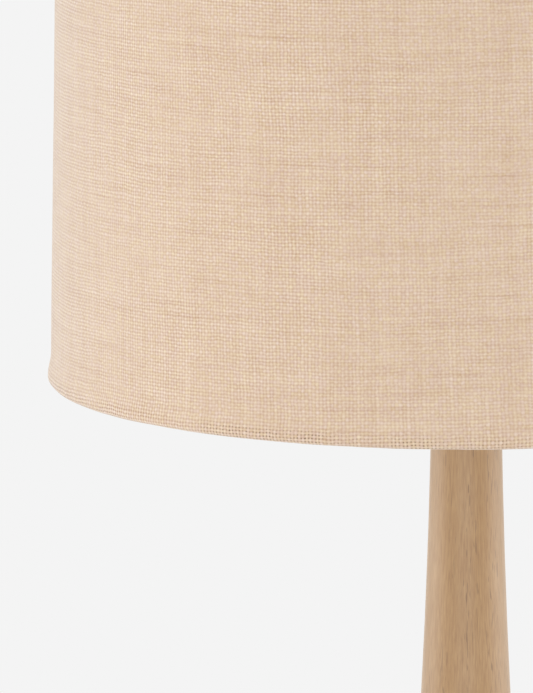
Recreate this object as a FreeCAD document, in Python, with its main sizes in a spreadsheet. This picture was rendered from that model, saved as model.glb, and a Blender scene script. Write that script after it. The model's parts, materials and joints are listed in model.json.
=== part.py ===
import FreeCAD, Part

import itertools
import math
import operator
import os

import Sketcher
from FreeCAD import Placement, Rotation, Vector

# A table lamp: a turned wooden column with a flaring foot on a round wooden base, and a nearly
# straight drum shade carried by a harp. Millimetres, +Z up, origin on the table under the column.
# The front is -Y, and the inlet for the lead is at the back, +Y.

os.makedirs("parts", exist_ok=True)
doc = FreeCAD.newDocument("column_table_lamp")
sheet = doc.addObject("Spreadsheet::Sheet", "Sizes")
rows = itertools.count(1)
subparts = []


# Sizes: each is written once, and what depends on it is worked out from it.

OPERATORS = {"+": operator.add, "-": operator.sub, "*": operator.mul, "/": operator.truediv}


class Size:
    """A length or angle: its value, and the expression in the sheet's sizes that gives it."""

    def __init__(self, value, text):
        self.value = value
        self.text = text

    def __add__(self, other):
        return combine(self, "+", other)

    def __radd__(self, other):
        return combine(other, "+", self)

    def __sub__(self, other):
        return combine(self, "-", other)

    def __rsub__(self, other):
        return combine(other, "-", self)

    def __mul__(self, other):
        return combine(self, "*", other)

    def __rmul__(self, other):
        return combine(other, "*", self)

    def __truediv__(self, other):
        return combine(self, "/", other)

    def __neg__(self):
        return combine(-1, "*", self)


def as_size(number):
    if isinstance(number, Size):
        return number
    return Size(number, repr(number))


def combine(left, sign, right):
    left = as_size(left)
    right = as_size(right)
    return Size(OPERATORS[sign](left.value, right.value), f"({left.text} {sign} {right.text})")


def cosine(angle):
    return Size(math.cos(math.radians(angle.value)), f"cos({angle.text} * 1 deg)")


def sine(angle):
    return Size(math.sin(math.radians(angle.value)), f"sin({angle.text} * 1 deg)")


def root(number):
    return Size(math.sqrt(number.value), f"sqrt({number.text})")


def size(name, value):
    """Write a size into the sheet's next row and return it."""
    row = next(rows)
    sheet.set(f"A{row}", name)
    sheet.set(f"B{row}", str(value))
    sheet.setAlias(f"B{row}", name)
    return Size(value, f"Sizes.{name}")


# Base: a wooden disc on felt, with an iron ring let into its underside.
felt_thickness = size("felt_thickness", 2)
felt_margin = size("felt_margin", 4)
base_radius = size("base_radius", 80)
base_thickness = size("base_thickness", 26)
base_edge_round = size("base_edge_round", 6)
base_edge_bevel = size("base_edge_bevel", 1)
recess_radius = size("recess_radius", 59)
recess_depth = size("recess_depth", 13)
mortise_radius = size("mortise_radius", 15)
mortise_depth = size("mortise_depth", 6)
ballast_play = size("ballast_play", 1.5)
ballast_bore = size("ballast_bore", 17)
ballast_thickness = size("ballast_thickness", 9)
ballast_slot = size("ballast_slot", 10)
screw_circle = size("screw_circle", 40)
screw_radius = size("screw_radius", 2)
screw_head_radius = size("screw_head_radius", 4)
screw_head_depth = size("screw_head_depth", 2.4)
screw_bite = size("screw_bite", 8)
screw_play = size("screw_play", 0.2)

# Inlet for the lead, through the back of the base.
inlet_height = size("inlet_height", 7)
inlet_bore = size("inlet_bore", 3.2)
inlet_wall = size("inlet_wall", 1.1)
inlet_play = size("inlet_play", 0.2)
inlet_setback = size("inlet_setback", 1.5)
inlet_flange_radius = size("inlet_flange_radius", 5.5)
inlet_flange_thickness = size("inlet_flange_thickness", 1.5)
inlet_spot_depth = size("inlet_spot_depth", 0.6)

# Rod that clamps the base, the column and the saddle together.
rod_radius = size("rod_radius", 4.85)
rod_wall = size("rod_wall", 1.45)
rod_play = size("rod_play", 0.35)
rod_tail = size("rod_tail", 3.5)
rod_head = size("rod_head", 1)
washer_radius = size("washer_radius", 15)
washer_thickness = size("washer_thickness", 1.5)
nut_across = size("nut_across", 16)
nut_thickness = size("nut_thickness", 3)

# Column: a cylinder hollowed all round by an ellipse, which leaves the waist and the flaring foot.
column_height = size("column_height", 370)
column_bore = size("column_bore", 5.5)
waist_radius = size("waist_radius", 16.5)
flare_width = size("flare_width", 36)
flare_centre_rise = size("flare_centre_rise", 51)
foot_lip = size("foot_lip", 2)
column_bevel = size("column_bevel", 1.5)
tenon_play = size("tenon_play", 0.2)

# Column cap, neck and saddle.
column_cap_radius = size("column_cap_radius", 15.2)
column_cap_thickness = size("column_cap_thickness", 4)
column_cap_round = size("column_cap_round", 1.2)
neck_radius = size("neck_radius", 7)
neck_height = size("neck_height", 10)
saddle_half_span = size("saddle_half_span", 29)
saddle_width = size("saddle_width", 14)
strap_thickness = size("strap_thickness", 2)
strap_bend = size("strap_bend", 2)
upright_height = size("upright_height", 7)
post_radius = size("post_radius", 3)
post_half_gap = size("post_half_gap", 0.15)
post_clearance = size("post_clearance", 0.3)
sleeve_length = size("sleeve_length", 16)
sleeve_wall = size("sleeve_wall", 1)
sleeve_play = size("sleeve_play", 0.3)

# Socket.
cap_hub_radius = size("cap_hub_radius", 7.5)
cap_hub_height = size("cap_hub_height", 7)
cap_bowl_height = size("cap_bowl_height", 7)
cap_rim_height = size("cap_rim_height", 7)
cap_bowl_round = size("cap_bowl_round", 11)
cap_play = size("cap_play", 0.4)
set_screw_radius = size("set_screw_radius", 1.5)
set_screw_length = size("set_screw_length", 5)
shell_radius = size("shell_radius", 15.9)
shell_wall = size("shell_wall", 0.6)
shell_height = size("shell_height", 46)
shell_lap = size("shell_lap", 4)
insulator_play = size("insulator_play", 0.4)
insulator_wall = size("insulator_wall", 0.7)
insulator_rise = size("insulator_rise", 1)
socket_body_play = size("socket_body_play", 0.2)
socket_body_start = size("socket_body_start", 3)
socket_body_height = size("socket_body_height", 18)
socket_body_flat = size("socket_body_flat", 11.5)
socket_flat_height = size("socket_flat_height", 12)
screw_shell_radius = size("screw_shell_radius", 13.7)
screw_shell_wall = size("screw_shell_wall", 0.4)
screw_shell_height = size("screw_shell_height", 24)
contact_radius = size("contact_radius", 4)
contact_height = size("contact_height", 2.5)
terminal_head_radius = size("terminal_head_radius", 3)
terminal_head_thickness = size("terminal_head_thickness", 2)
terminal_shank_radius = size("terminal_shank_radius", 1.6)
terminal_shank_length = size("terminal_shank_length", 5)
terminal_play = size("terminal_play", 0.15)

# Turn switch on the front of the socket.
switch_height = size("switch_height", 12)
switch_shaft_radius = size("switch_shaft_radius", 2)
switch_shaft_play = size("switch_shaft_play", 0.05)
switch_shaft_depth = size("switch_shaft_depth", 5.4)
switch_shaft_length = size("switch_shaft_length", 24)
bushing_radius = size("bushing_radius", 4.5)
bushing_play = size("bushing_play", 0.3)
bushing_collar_radius = size("bushing_collar_radius", 6)
bushing_collar_thickness = size("bushing_collar_thickness", 1.8)
bushing_nose_radius = size("bushing_nose_radius", 4)
bushing_nose_length = size("bushing_nose_length", 3)
knob_radius = size("knob_radius", 6.5)
knob_neck_radius = size("knob_neck_radius", 5)
knob_length = size("knob_length", 15)
knob_neck_length = size("knob_neck_length", 4)
knob_round = size("knob_round", 2)
knob_gap = size("knob_gap", 0.5)
knob_grip_depth = size("knob_grip_depth", 11)
flute_radius = size("flute_radius", 1)
flute_depth = size("flute_depth", 0.5)
FLUTE_COUNT = 18

# Bulb with a 26 mm screw cap.
bulb_play = size("bulb_play", 0.3)
bulb_seat_gap = size("bulb_seat_gap", 0.3)
bulb_contact_radius = size("bulb_contact_radius", 4.5)
bulb_contact_height = size("bulb_contact_height", 0.8)
bulb_insulator_height = size("bulb_insulator_height", 3.2)
bulb_insulator_radius = size("bulb_insulator_radius", 10.5)
bulb_cap_height = size("bulb_cap_height", 22)
bulb_cap_bevel = size("bulb_cap_bevel", 0.8)
bulb_cap_wall = size("bulb_cap_wall", 0.4)
bulb_radius = size("bulb_radius", 30)
bulb_height = size("bulb_height", 106)
bulb_neck_angle = size("bulb_neck_angle", 28)
bulb_neck_play = size("bulb_neck_play", 0.2)
bulb_neck_depth = size("bulb_neck_depth", 6)
glass_wall = size("glass_wall", 0.8)
stem_radius = size("stem_radius", 4)
stem_height = size("stem_height", 40)
stem_flare_thickness = size("stem_flare_thickness", 1.5)
filament_radius = size("filament_radius", 0.5)
filament_half_span = size("filament_half_span", 11)
filament_lead = size("filament_lead", 6)
filament_rise = size("filament_rise", 16)
filament_lead_offset = size("filament_lead_offset", 3)
filament_bend = size("filament_bend", 2)

# Harp.
harp_rise = size("harp_rise", 241)
harp_half_width = size("harp_half_width", 58)
harp_wire_radius = size("harp_wire_radius", 2)
harp_straight = size("harp_straight", 26)
harp_spread_rise = size("harp_spread_rise", 52)
harp_shoulder_drop = size("harp_shoulder_drop", 52)
harp_shoulder_half_width = size("harp_shoulder_half_width", 34)
harp_side_bend = size("harp_side_bend", 60)
harp_shoulder_bend = size("harp_shoulder_bend", 22)
harp_top_half_length = size("harp_top_half_length", 8)
harp_top_width = size("harp_top_width", 9)
harp_top_height = size("harp_top_height", 5)
stud_radius = size("stud_radius", 3.1)
stud_play = size("stud_play", 0.06)
stud_head_radius = size("stud_head_radius", 4.6)
stud_head_thickness = size("stud_head_thickness", 1.5)
stud_head_gap = size("stud_head_gap", 0.15)
stud_seat_radius = size("stud_seat_radius", 5.5)
stud_seat_thickness = size("stud_seat_thickness", 1.2)
stud_length = size("stud_length", 13.5)

# Shade: woven fabric over a stiff liner, turned round a wire ring at the top and at the bottom.
shade_radius = size("shade_radius", 203)
shade_height = size("shade_height", 285)
shade_taper = size("shade_taper", 3.5)
fabric_thickness = size("fabric_thickness", 0.9)
glue_gap = size("glue_gap", 0.1)
liner_thickness = size("liner_thickness", 0.6)
liner_end_gap = size("liner_end_gap", 1.4)
ring_wire_radius = size("ring_wire_radius", 1.6)
ring_play = size("ring_play", 0.3)
hem_bulge = size("hem_bulge", 1.45)
hem_height = size("hem_height", 13.5)
hem_tuck = size("hem_tuck", 4)
spider_drop = size("spider_drop", 11.5)
spider_wire_radius = size("spider_wire_radius", 1.5)
spider_wire_bend = size("spider_wire_bend", 6)
spider_weld_gap = size("spider_weld_gap", 0.1)
hub_radius = size("hub_radius", 12)
hub_thickness = size("hub_thickness", 1.5)
hub_play = size("hub_play", 0.35)

# Finial.
finial_base_radius = size("finial_base_radius", 7)
finial_neck_radius = size("finial_neck_radius", 4.8)
finial_base_height = size("finial_base_height", 16)
finial_foot_height = size("finial_foot_height", 2)
finial_top_height = size("finial_top_height", 2)
finial_play = size("finial_play", 0.2)
finial_bore_spare = size("finial_bore_spare", 0.5)
finial_ball_radius = size("finial_ball_radius", 10)
finial_ball_flat = size("finial_ball_flat", 5.5)


# Levels and radii that follow from the sizes.
base_bottom = felt_thickness
base_top = base_bottom + base_thickness
recess_top = base_bottom + recess_depth
rod_hole_radius = rod_radius + rod_play
ballast_bottom = recess_top - ballast_thickness
inlet_level = base_bottom + inlet_height
inlet_spot = base_radius - inlet_spot_depth
washer_bottom = recess_top - washer_thickness
nut_bottom = washer_bottom - nut_thickness
tenon_bottom = base_top - mortise_depth + tenon_play
column_top = base_top + column_height
foot_radius = waist_radius + flare_width
flare_centre = column_top + flare_centre_rise
neck_bottom = column_top + column_cap_thickness
saddle_bottom = neck_bottom + neck_height
saddle_top = saddle_bottom + strap_thickness
post_bottom = saddle_top + upright_height
harp_wire_bottom = post_bottom + sleeve_length
cap_bottom = saddle_top + nut_thickness
cap_bowl_bottom = cap_bottom + cap_hub_height
cap_rim_bottom = cap_bowl_bottom + cap_bowl_height
cap_top = cap_rim_bottom + cap_rim_height
set_screw_level = cap_bottom + cap_hub_height / 2
shell_bottom = cap_top - shell_lap
shell_top = shell_bottom + shell_height
insulator_radius = shell_radius - shell_wall - insulator_play
insulator_bore = insulator_radius - insulator_wall
socket_body_radius = insulator_bore - socket_body_play
socket_body_bottom = shell_bottom + socket_body_start
socket_body_top = socket_body_bottom + socket_body_height
screw_shell_bore = screw_shell_radius - screw_shell_wall
switch_level = shell_bottom + switch_height
switch_shaft_bore = switch_shaft_radius + switch_shaft_play
switch_shaft_start = socket_body_radius - switch_shaft_depth
switch_shaft_end = switch_shaft_start + bushing_play + switch_shaft_length
bushing_end = shell_radius + bushing_play + bushing_collar_thickness + bushing_nose_length
bulb_bottom = socket_body_top + contact_height + bulb_seat_gap
bulb_insulator_bottom = bulb_bottom + bulb_contact_height
bulb_cap_bottom = bulb_insulator_bottom + bulb_insulator_height
bulb_cap_top = bulb_cap_bottom + bulb_cap_height
bulb_cap_radius = screw_shell_bore - bulb_play
bulb_neck_radius = bulb_cap_radius - bulb_cap_wall - bulb_neck_play
bulb_neck_bottom = bulb_cap_top - bulb_neck_depth
bulb_centre = bulb_bottom + bulb_height - bulb_radius
stem_top = bulb_neck_bottom + stem_height
seat_level = saddle_top + harp_rise
harp_top_level = seat_level - stud_seat_thickness
harp_wire_top = harp_top_level - harp_top_height / 2
hub_top = seat_level + hub_thickness
shade_top = hub_top + spider_drop
rim_level = shade_top - shade_height
ring_reach = ring_wire_radius + ring_play
hem_reach = ring_reach + fabric_thickness


# Drawing.

def flat_point(across, up):
    return Vector(as_size(across).value, as_size(up).value, 0)


def arc_between(start, end, radius, turn):
    """An arc of less than half a turn; turn is 1 with its centre to the left of the way, or -1."""
    chord = end - start
    left = Vector(-chord.y, chord.x, 0).normalize()
    centre = (start + end) / 2 + left * turn * math.sqrt(radius**2 - (chord.Length / 2)**2)
    first, last = (start, end) if turn > 0 else (end, start)
    angles = [math.atan2(point.y - centre.y, point.x - centre.x) for point in (first, last)]
    if angles[1] < angles[0]:
        angles[1] += 2 * math.pi
    return Part.ArcOfCircle(Part.Circle(centre, Vector(0, 0, 1), radius), *angles)


def fix(sketch, kind, *place, to):
    """Add a dimension to a sketch and tie it to a size."""
    index = sketch.addConstraint(Sketcher.Constraint(kind, *place, to.value))
    sketch.setExpression(f"Constraints[{index}]", to.text)


def place_point(sketch, edge, end, across, up):
    """Hold a point at its distances from the sketch's origin; a distance of 0 is on the axis."""
    for kind, axis, distance in (("DistanceX", -2, across), ("DistanceY", -1, up)):
        if distance == 0:
            sketch.addConstraint(Sketcher.Constraint("PointOnObject", edge, end, axis))
        else:
            fix(sketch, kind, -1, 1, edge, end, to=distance)


def draw_outline(sketch, corners):
    """Draw a closed outline of corners (across, up), with (radius, turn) added where an arc ends."""
    points = [flat_point(*corner[:2]) for corner in corners]
    ends = []
    for index, corner in enumerate(corners):
        start, end = points[index - 1], points[index]
        if len(corner) == 2:
            sketch.addGeometry(Part.LineSegment(start, end))
            ends.append((1, 2))
        else:
            radius, turn = corner[2:]
            sketch.addGeometry(arc_between(start, end, radius.value, turn))
            ends.append((1, 2) if turn > 0 else (2, 1))
    for index, corner in enumerate(corners):
        after = (index + 1) % len(corners)
        join = Sketcher.Constraint("Coincident", index, ends[index][1], after, ends[after][0])
        sketch.addConstraint(join)
        place_point(sketch, index, ends[index][1], *corner[:2])
        if len(corner) > 2:
            fix(sketch, "Radius", index, to=corner[2])


def new_body(label):
    body = doc.addObject("PartDesign::Body", label)
    body.Label = label
    return body


def new_sketch(body, role, name, offset=None):
    """A sketch on one of the body's own planes, moved off it by the offset."""
    sketch = body.newObject("Sketcher::SketchObject", name)
    plane = [item for item in body.Origin.OriginFeatures if item.Role == role][0]
    sketch.AttachmentSupport = [(plane, "")]
    sketch.MapMode = "FlatFace"
    if offset is not None:
        sketch.AttachmentOffset = Placement(Vector(0, 0, offset.value), Rotation())
        sketch.setExpression("AttachmentOffset.Base.z", offset.text)
    return sketch


def turned(label, corners):
    """A body turned about Z from an outline of radii and heights."""
    body = new_body(label)
    sketch = new_sketch(body, "XZ_Plane", "outline")
    draw_outline(sketch, corners)
    turning = body.newObject("PartDesign::Revolution", "turning")
    turning.Profile = sketch
    turning.ReferenceAxis = (sketch, ["V_Axis"])
    turning.Angle = 360
    doc.recompute()
    return body


def extruded(label, corners, width):
    """A body of an outline in the XZ plane, half of its width on each side."""
    body = new_body(label)
    sketch = new_sketch(body, "XZ_Plane", "outline")
    draw_outline(sketch, corners)
    pad = body.newObject("PartDesign::Pad", "pad")
    pad.Profile = sketch
    pad.SideType = "Symmetric"
    pad.Length = width.value
    pad.setExpression("Length", width.text)
    doc.recompute()
    return body


def draw_path(sketch, corners):
    """Draw an open path of straight runs, with an arc at each corner that gives a bend radius."""
    points = [flat_point(*corner[:2]) for corner in corners]
    bends = []
    for index in range(1, len(points) - 1):
        back = (points[index - 1] - points[index]).normalize()
        ahead = (points[index + 1] - points[index]).normalize()
        radius = corners[index][2].value
        reach = radius / math.tan(back.getAngle(ahead) / 2)
        turn = 1 if back.cross(ahead).z < 0 else -1
        bends.append((points[index] + back * reach, points[index] + ahead * reach, radius, turn))
    starts = [points[0]] + [bend[1] for bend in bends]
    finishes = [bend[0] for bend in bends] + [points[-1]]
    runs = [sketch.addGeometry(Part.LineSegment(*ends)) for ends in zip(starts, finishes)]
    place_point(sketch, runs[0], 1, *corners[0])
    place_point(sketch, runs[-1], 2, *corners[-1])
    for index, (start, end, radius, turn) in enumerate(bends):
        arc = sketch.addGeometry(arc_between(start, end, radius, turn))
        first, last = (1, 2) if turn > 0 else (2, 1)
        sketch.addConstraint(Sketcher.Constraint("Tangent", runs[index], 2, arc, first))
        sketch.addConstraint(Sketcher.Constraint("Tangent", arc, last, runs[index + 1], 1))
        fix(sketch, "Radius", arc, to=corners[index + 1][2])
        corner = sketch.addGeometry(Part.Point(points[index + 1]), True)
        place_point(sketch, corner, 1, *corners[index + 1][:2])
        sketch.addConstraint(Sketcher.Constraint("PointOnObject", corner, 1, runs[index]))
        sketch.addConstraint(Sketcher.Constraint("PointOnObject", corner, 1, runs[index + 1]))


def bent_wire(label, radius, corners, rises=True):
    """Round wire along a path in the XZ plane, which sets out upwards, or else outwards."""
    body = new_body(label)
    path = new_sketch(body, "XZ_Plane", "path")
    draw_path(path, corners)
    across, up = corners[0]
    if rises:
        section = new_sketch(body, "XY_Plane", "section", up)
        centre = (across, 0)
    else:
        section = new_sketch(body, "YZ_Plane", "section", across)
        centre = (0, up)
    section.addGeometry(Part.Circle(flat_point(*centre), Vector(0, 0, 1), radius.value))
    fix(section, "Radius", 0, to=radius)
    place_point(section, 0, 3, *centre)
    pipe = body.newObject("PartDesign::AdditivePipe", "wire")
    pipe.Profile = section
    pipe.Spine = (path, [])
    doc.recompute()
    return body


def move(item, across=None, back=None, up=None):
    """Tie an object's place to sizes."""
    for axis, distance in (("x", across), ("y", back), ("z", up)):
        if distance is not None:
            setattr(item.Placement.Base, axis, distance.value)
            item.setExpression(f"Placement.Base.{axis}", distance.text)
    return item


def bind(item, **sizes):
    """Set an object's properties and tie them to sizes."""
    for name, length in sizes.items():
        setattr(item, name, length.value)
        item.setExpression(name, length.text)
    return item


def facing(item, axis, angle):
    item.Placement = Placement(Vector(), Rotation(axis, angle))
    return item


FORWARD = (Vector(1, 0, 0), 90)
BACKWARD = (Vector(1, 0, 0), -90)
RIGHT = (Vector(0, 1, 0), 90)
LEFT = (Vector(0, 1, 0), -90)


def cylinder(name, radius, length, angle=360):
    item = bind(doc.addObject("Part::Cylinder", name), Radius=radius, Height=length)
    item.Angle = angle
    return item


def block(name, length, width, height):
    return bind(doc.addObject("Part::Box", name), Length=length, Width=width, Height=height)


def fused(label, *pieces):
    item = doc.addObject("Part::MultiFuse", label)
    item.Label = label
    item.Shapes = list(pieces)
    doc.recompute()
    return item


def cut(label, blank, *tools):
    """The blank less its tools, and a test that they took something off it."""
    item = doc.addObject("Part::Cut", label)
    item.Label = label
    item.Base = blank
    item.Tool = tools[0] if len(tools) == 1 else fused(f"{label}_tools", *tools)
    doc.recompute()
    if item.Shape.Volume >= blank.Shape.Volume:
        raise RuntimeError(f"{label}: nothing was cut")
    return item


def group(label, pieces):
    item = doc.addObject("Part::Compound", label)
    item.Label = label
    item.Links = pieces
    return item


def add(*pieces):
    subparts.extend(pieces)


# Base.

def felt_pad():
    radius = base_radius - felt_margin
    return turned("felt_pad", [(0, 0), (radius, 0), (radius, felt_thickness), (0, felt_thickness)])


def ballast_screw(name, angle, play):
    """A countersunk screw from the ring up into the wood, or with play its hole."""
    head = doc.addObject("Part::Cone", f"{name}_head")
    bind(head, Radius1=screw_head_radius + play, Radius2=screw_radius + play)
    bind(head, Height=screw_head_depth)
    shank = cylinder(f"{name}_shank", screw_radius + play, ballast_thickness + screw_bite + play)
    screw = fused(name, head, shank)
    turn = as_size(angle)
    return move(screw, screw_circle * cosine(turn), screw_circle * sine(turn), ballast_bottom)


SCREW_ANGLES = (30, 150, 270)


def ballast_screws():
    no_play = as_size(0)
    screws = [ballast_screw(f"ballast_screw_{angle}", angle, no_play) for angle in SCREW_ANGLES]
    return group("ballast_screws", screws)


def screw_holes(piece):
    return [ballast_screw(f"{piece}_hole_{angle}", angle, screw_play) for angle in SCREW_ANGLES]


def base_disc():
    bevel = base_edge_bevel
    round_edge = base_edge_round
    blank = turned("base_blank", [
        (rod_hole_radius, recess_top),
        (recess_radius, recess_top),
        (recess_radius, base_bottom),
        (base_radius - bevel, base_bottom),
        (base_radius, base_bottom + bevel),
        (base_radius, base_top - round_edge),
        (base_radius - round_edge, base_top, round_edge, 1),
        (mortise_radius, base_top),
        (mortise_radius, base_top - mortise_depth),
        (rod_hole_radius, base_top - mortise_depth),
    ])
    inlet = cylinder("inlet_hole", inlet_bore + inlet_wall + inlet_play, base_radius)
    spot = cylinder("inlet_spot", inlet_flange_radius + inlet_play, base_radius)
    move(facing(inlet, *BACKWARD), up=inlet_level)
    move(facing(spot, *BACKWARD), back=inlet_spot, up=inlet_level)
    return cut("base_disc", blank, inlet, spot, *screw_holes("base"))


def ballast_plate():
    radius = recess_radius - ballast_play
    blank = turned("ballast_blank", [
        (ballast_bore, ballast_bottom),
        (radius, ballast_bottom),
        (radius, recess_top),
        (ballast_bore, recess_top),
    ])
    slot = block("ballast_slot", ballast_slot, recess_radius, ballast_thickness)
    move(slot, across=-ballast_slot / 2, up=ballast_bottom)
    return cut("ballast_plate", blank, slot, *screw_holes("ballast"))


def cord_bushing():
    start = recess_radius + inlet_setback
    tube = inlet_bore + inlet_wall
    flange_face = inlet_spot + inlet_flange_thickness
    body = turned("cord_bushing", [
        (inlet_bore, start),
        (tube, start),
        (tube, inlet_spot),
        (inlet_flange_radius, inlet_spot),
        (inlet_flange_radius, flange_face),
        (inlet_bore, flange_face),
    ])
    return move(facing(body, *BACKWARD), up=inlet_level)


# Column and rod.

def column():
    tenon_radius = mortise_radius - tenon_play
    body = turned("column", [
        (column_bore, tenon_bottom),
        (tenon_radius, tenon_bottom),
        (tenon_radius, base_top),
        (foot_radius, base_top),
        (foot_radius, column_top),
        (column_bore, column_top),
    ])
    blank_volume = body.Shape.Volume
    sketch = new_sketch(body, "XZ_Plane", "flare")
    half_height = flare_centre - base_top - foot_lip
    centre = Vector(foot_radius.value, flare_centre.value, 0)
    top = centre + Vector(0, half_height.value, 0)
    side = centre + Vector(-flare_width.value, 0, 0)
    sketch.addGeometry(Part.Ellipse(top, side, centre))
    sketch.exposeInternalGeometry(0)
    sketch.addConstraint(Sketcher.Constraint("Vertical", 1))
    fix(sketch, "Distance", 1, to=half_height * 2)
    fix(sketch, "Distance", 2, to=flare_width * 2)
    place_point(sketch, 0, 3, foot_radius, flare_centre)
    groove = body.newObject("PartDesign::Groove", "hollow")
    groove.Profile = sketch
    groove.ReferenceAxis = (sketch, ["V_Axis"])
    groove.Angle = 360
    doc.recompute()
    if body.Shape.Volume > blank_volume / 2:
        raise RuntimeError("column: the flare was not cut")
    bevel = body.newObject("PartDesign::Chamfer", "bevel")
    bevel.Base = (groove, [top_edge(groove.Shape)])
    bind(bevel, Size=column_bevel)
    return body


def top_edge(shape):
    """The name of a turned piece's highest and widest round edge."""
    highest = shape.BoundBox.ZMax
    rims = [
        (edge.Curve.Radius, index)
        for index, edge in enumerate(shape.Edges, 1)
        if isinstance(edge.Curve, Part.Circle) and abs(edge.BoundBox.ZMin - highest) < 0.001
    ]
    return f"Edge{max(rims)[1]}"


def tube(label, bore, radius, bottom, top):
    return turned(label, [(bore, bottom), (radius, bottom), (radius, top), (bore, top)])


def threaded_rod():
    bottom = nut_bottom - rod_tail
    top = cap_bowl_bottom + rod_head
    return tube("threaded_rod", rod_radius - rod_wall, rod_radius, bottom, top)


def bottom_washer():
    return tube("bottom_washer", rod_hole_radius, washer_radius, washer_bottom, recess_top)


def hexagon_nut(label, bottom):
    blank = doc.addObject("Part::Prism", f"{label}_blank")
    blank.Polygon = 6
    bind(blank, Circumradius=nut_across / math.sqrt(3), Height=nut_thickness)
    hole = cylinder(f"{label}_hole", rod_hole_radius, nut_thickness)
    return cut(label, move(blank, up=bottom), move(hole, up=bottom))


def column_cap():
    flat = column_cap_radius - column_cap_round
    return turned("column_cap", [
        (rod_hole_radius, column_top),
        (column_cap_radius, column_top),
        (column_cap_radius, neck_bottom - column_cap_round),
        (flat, neck_bottom, column_cap_round, 1),
        (rod_hole_radius, neck_bottom),
    ])


# Saddle, harp and sleeves.

def half_round(name, side, gap_side, bottom, length):
    """Half of a round post at one end of the saddle, behind or before the parting gap."""
    half = cylinder(name, post_radius, length, 180)
    facing(half, Vector(0, 0, 1), 0 if gap_side > 0 else 180)
    return move(half, saddle_half_span * side, post_half_gap * gap_side, bottom)


def harp_saddle():
    outside = saddle_half_span + strap_thickness / 2
    inside = saddle_half_span - strap_thickness / 2
    bend = strap_bend
    strap = extruded("saddle_strap", [
        (outside, post_bottom),
        (inside, post_bottom),
        (inside, saddle_top),
        (-inside, saddle_top),
        (-inside, post_bottom),
        (-outside, post_bottom),
        (-outside, saddle_bottom + bend),
        (bend - outside, saddle_bottom, bend, 1),
        (outside - bend, saddle_bottom),
        (outside, saddle_bottom + bend, bend, 1),
    ], saddle_width)
    post_height = sleeve_length - post_clearance
    posts = [
        half_round(f"saddle_post_{side}", side, -1, post_bottom, post_height) for side in (-1, 1)
    ]
    hole = move(cylinder("saddle_hole", rod_hole_radius, strap_thickness), up=saddle_bottom)
    return cut("harp_saddle", fused("saddle_blank", strap, *posts), hole)


def harp_wire(label, side):
    level = harp_wire_bottom
    spread = level + harp_straight
    shoulder = harp_wire_top - harp_shoulder_drop
    foot_x = saddle_half_span * side
    wide_x = harp_half_width * side
    wire = bent_wire(f"{label}_wire", harp_wire_radius, [
        (foot_x, level),
        (foot_x, spread, harp_side_bend),
        (wide_x, spread + harp_spread_rise, harp_side_bend),
        (wide_x, shoulder, harp_side_bend),
        (harp_shoulder_half_width * side, harp_wire_top, harp_shoulder_bend),
        (harp_top_half_length * side, harp_wire_top),
    ])
    return fused(label, wire, half_round(f"{label}_tab", side, 1, post_bottom, sleeve_length))


def harp_top():
    half = harp_top_half_length
    bottom = harp_top_level - harp_top_height
    bar = extruded("harp_top_bar", [
        (half, bottom),
        (half, harp_top_level),
        (-half, harp_top_level),
        (-half, bottom),
    ], harp_top_width)
    hole = move(cylinder("harp_top_hole", stud_radius + stud_play, harp_top_height), up=bottom)
    return cut("harp_top", bar, hole)


def harp_stud():
    head_top = harp_top_level - harp_top_height - stud_head_gap
    head_bottom = head_top - stud_head_thickness
    return turned("harp_stud", [
        (0, head_bottom),
        (stud_head_radius, head_bottom),
        (stud_head_radius, head_top),
        (stud_radius, head_top),
        (stud_radius, harp_top_level),
        (stud_seat_radius, harp_top_level),
        (stud_seat_radius, seat_level),
        (stud_radius, seat_level),
        (stud_radius, seat_level + stud_length),
        (0, seat_level + stud_length),
    ])


def harp_sleeve(label, side):
    bore = post_radius + sleeve_play
    body = tube(label, bore, bore + sleeve_wall, post_bottom, post_bottom + sleeve_length)
    return move(body, across=saddle_half_span * side)


# Socket.

def socket_cap():
    wall = shell_wall
    bore = shell_radius + cap_play
    lip = cap_hub_radius + wall
    blank = turned("socket_cap_blank", [
        (rod_hole_radius, cap_bottom),
        (cap_hub_radius, cap_bottom),
        (cap_hub_radius, cap_bowl_bottom - wall),
        (bore + wall, cap_rim_bottom, cap_bowl_round, 1),
        (bore + wall, cap_top),
        (bore, cap_top),
        (bore, cap_rim_bottom),
        (lip, cap_bowl_bottom, cap_bowl_round - wall, -1),
        (rod_hole_radius, cap_bowl_bottom),
    ])
    hole = cylinder("set_screw_hole", set_screw_radius + screw_play, set_screw_length + rod_radius)
    move(facing(hole, *RIGHT), up=set_screw_level)
    return cut("socket_cap", blank, hole)


def set_screw():
    screw = cylinder("set_screw", set_screw_radius, set_screw_length)
    return move(facing(screw, *RIGHT), across=rod_radius + screw_play, up=set_screw_level)


def bushing_hole(name):
    hole = cylinder(name, bushing_radius + bushing_play, shell_radius * 2)
    return move(facing(hole, *FORWARD), up=switch_level)


def socket_shell():
    bore = shell_radius - shell_wall
    blank = tube("socket_shell_blank", bore, shell_radius, shell_bottom, shell_top)
    return cut("socket_shell", blank, bushing_hole("shell_hole"))


def insulating_liner():
    top = shell_top + insulator_rise
    blank = tube("liner_blank", insulator_bore, insulator_radius, shell_bottom, top)
    return cut("insulating_liner", blank, bushing_hole("liner_hole"))


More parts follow.
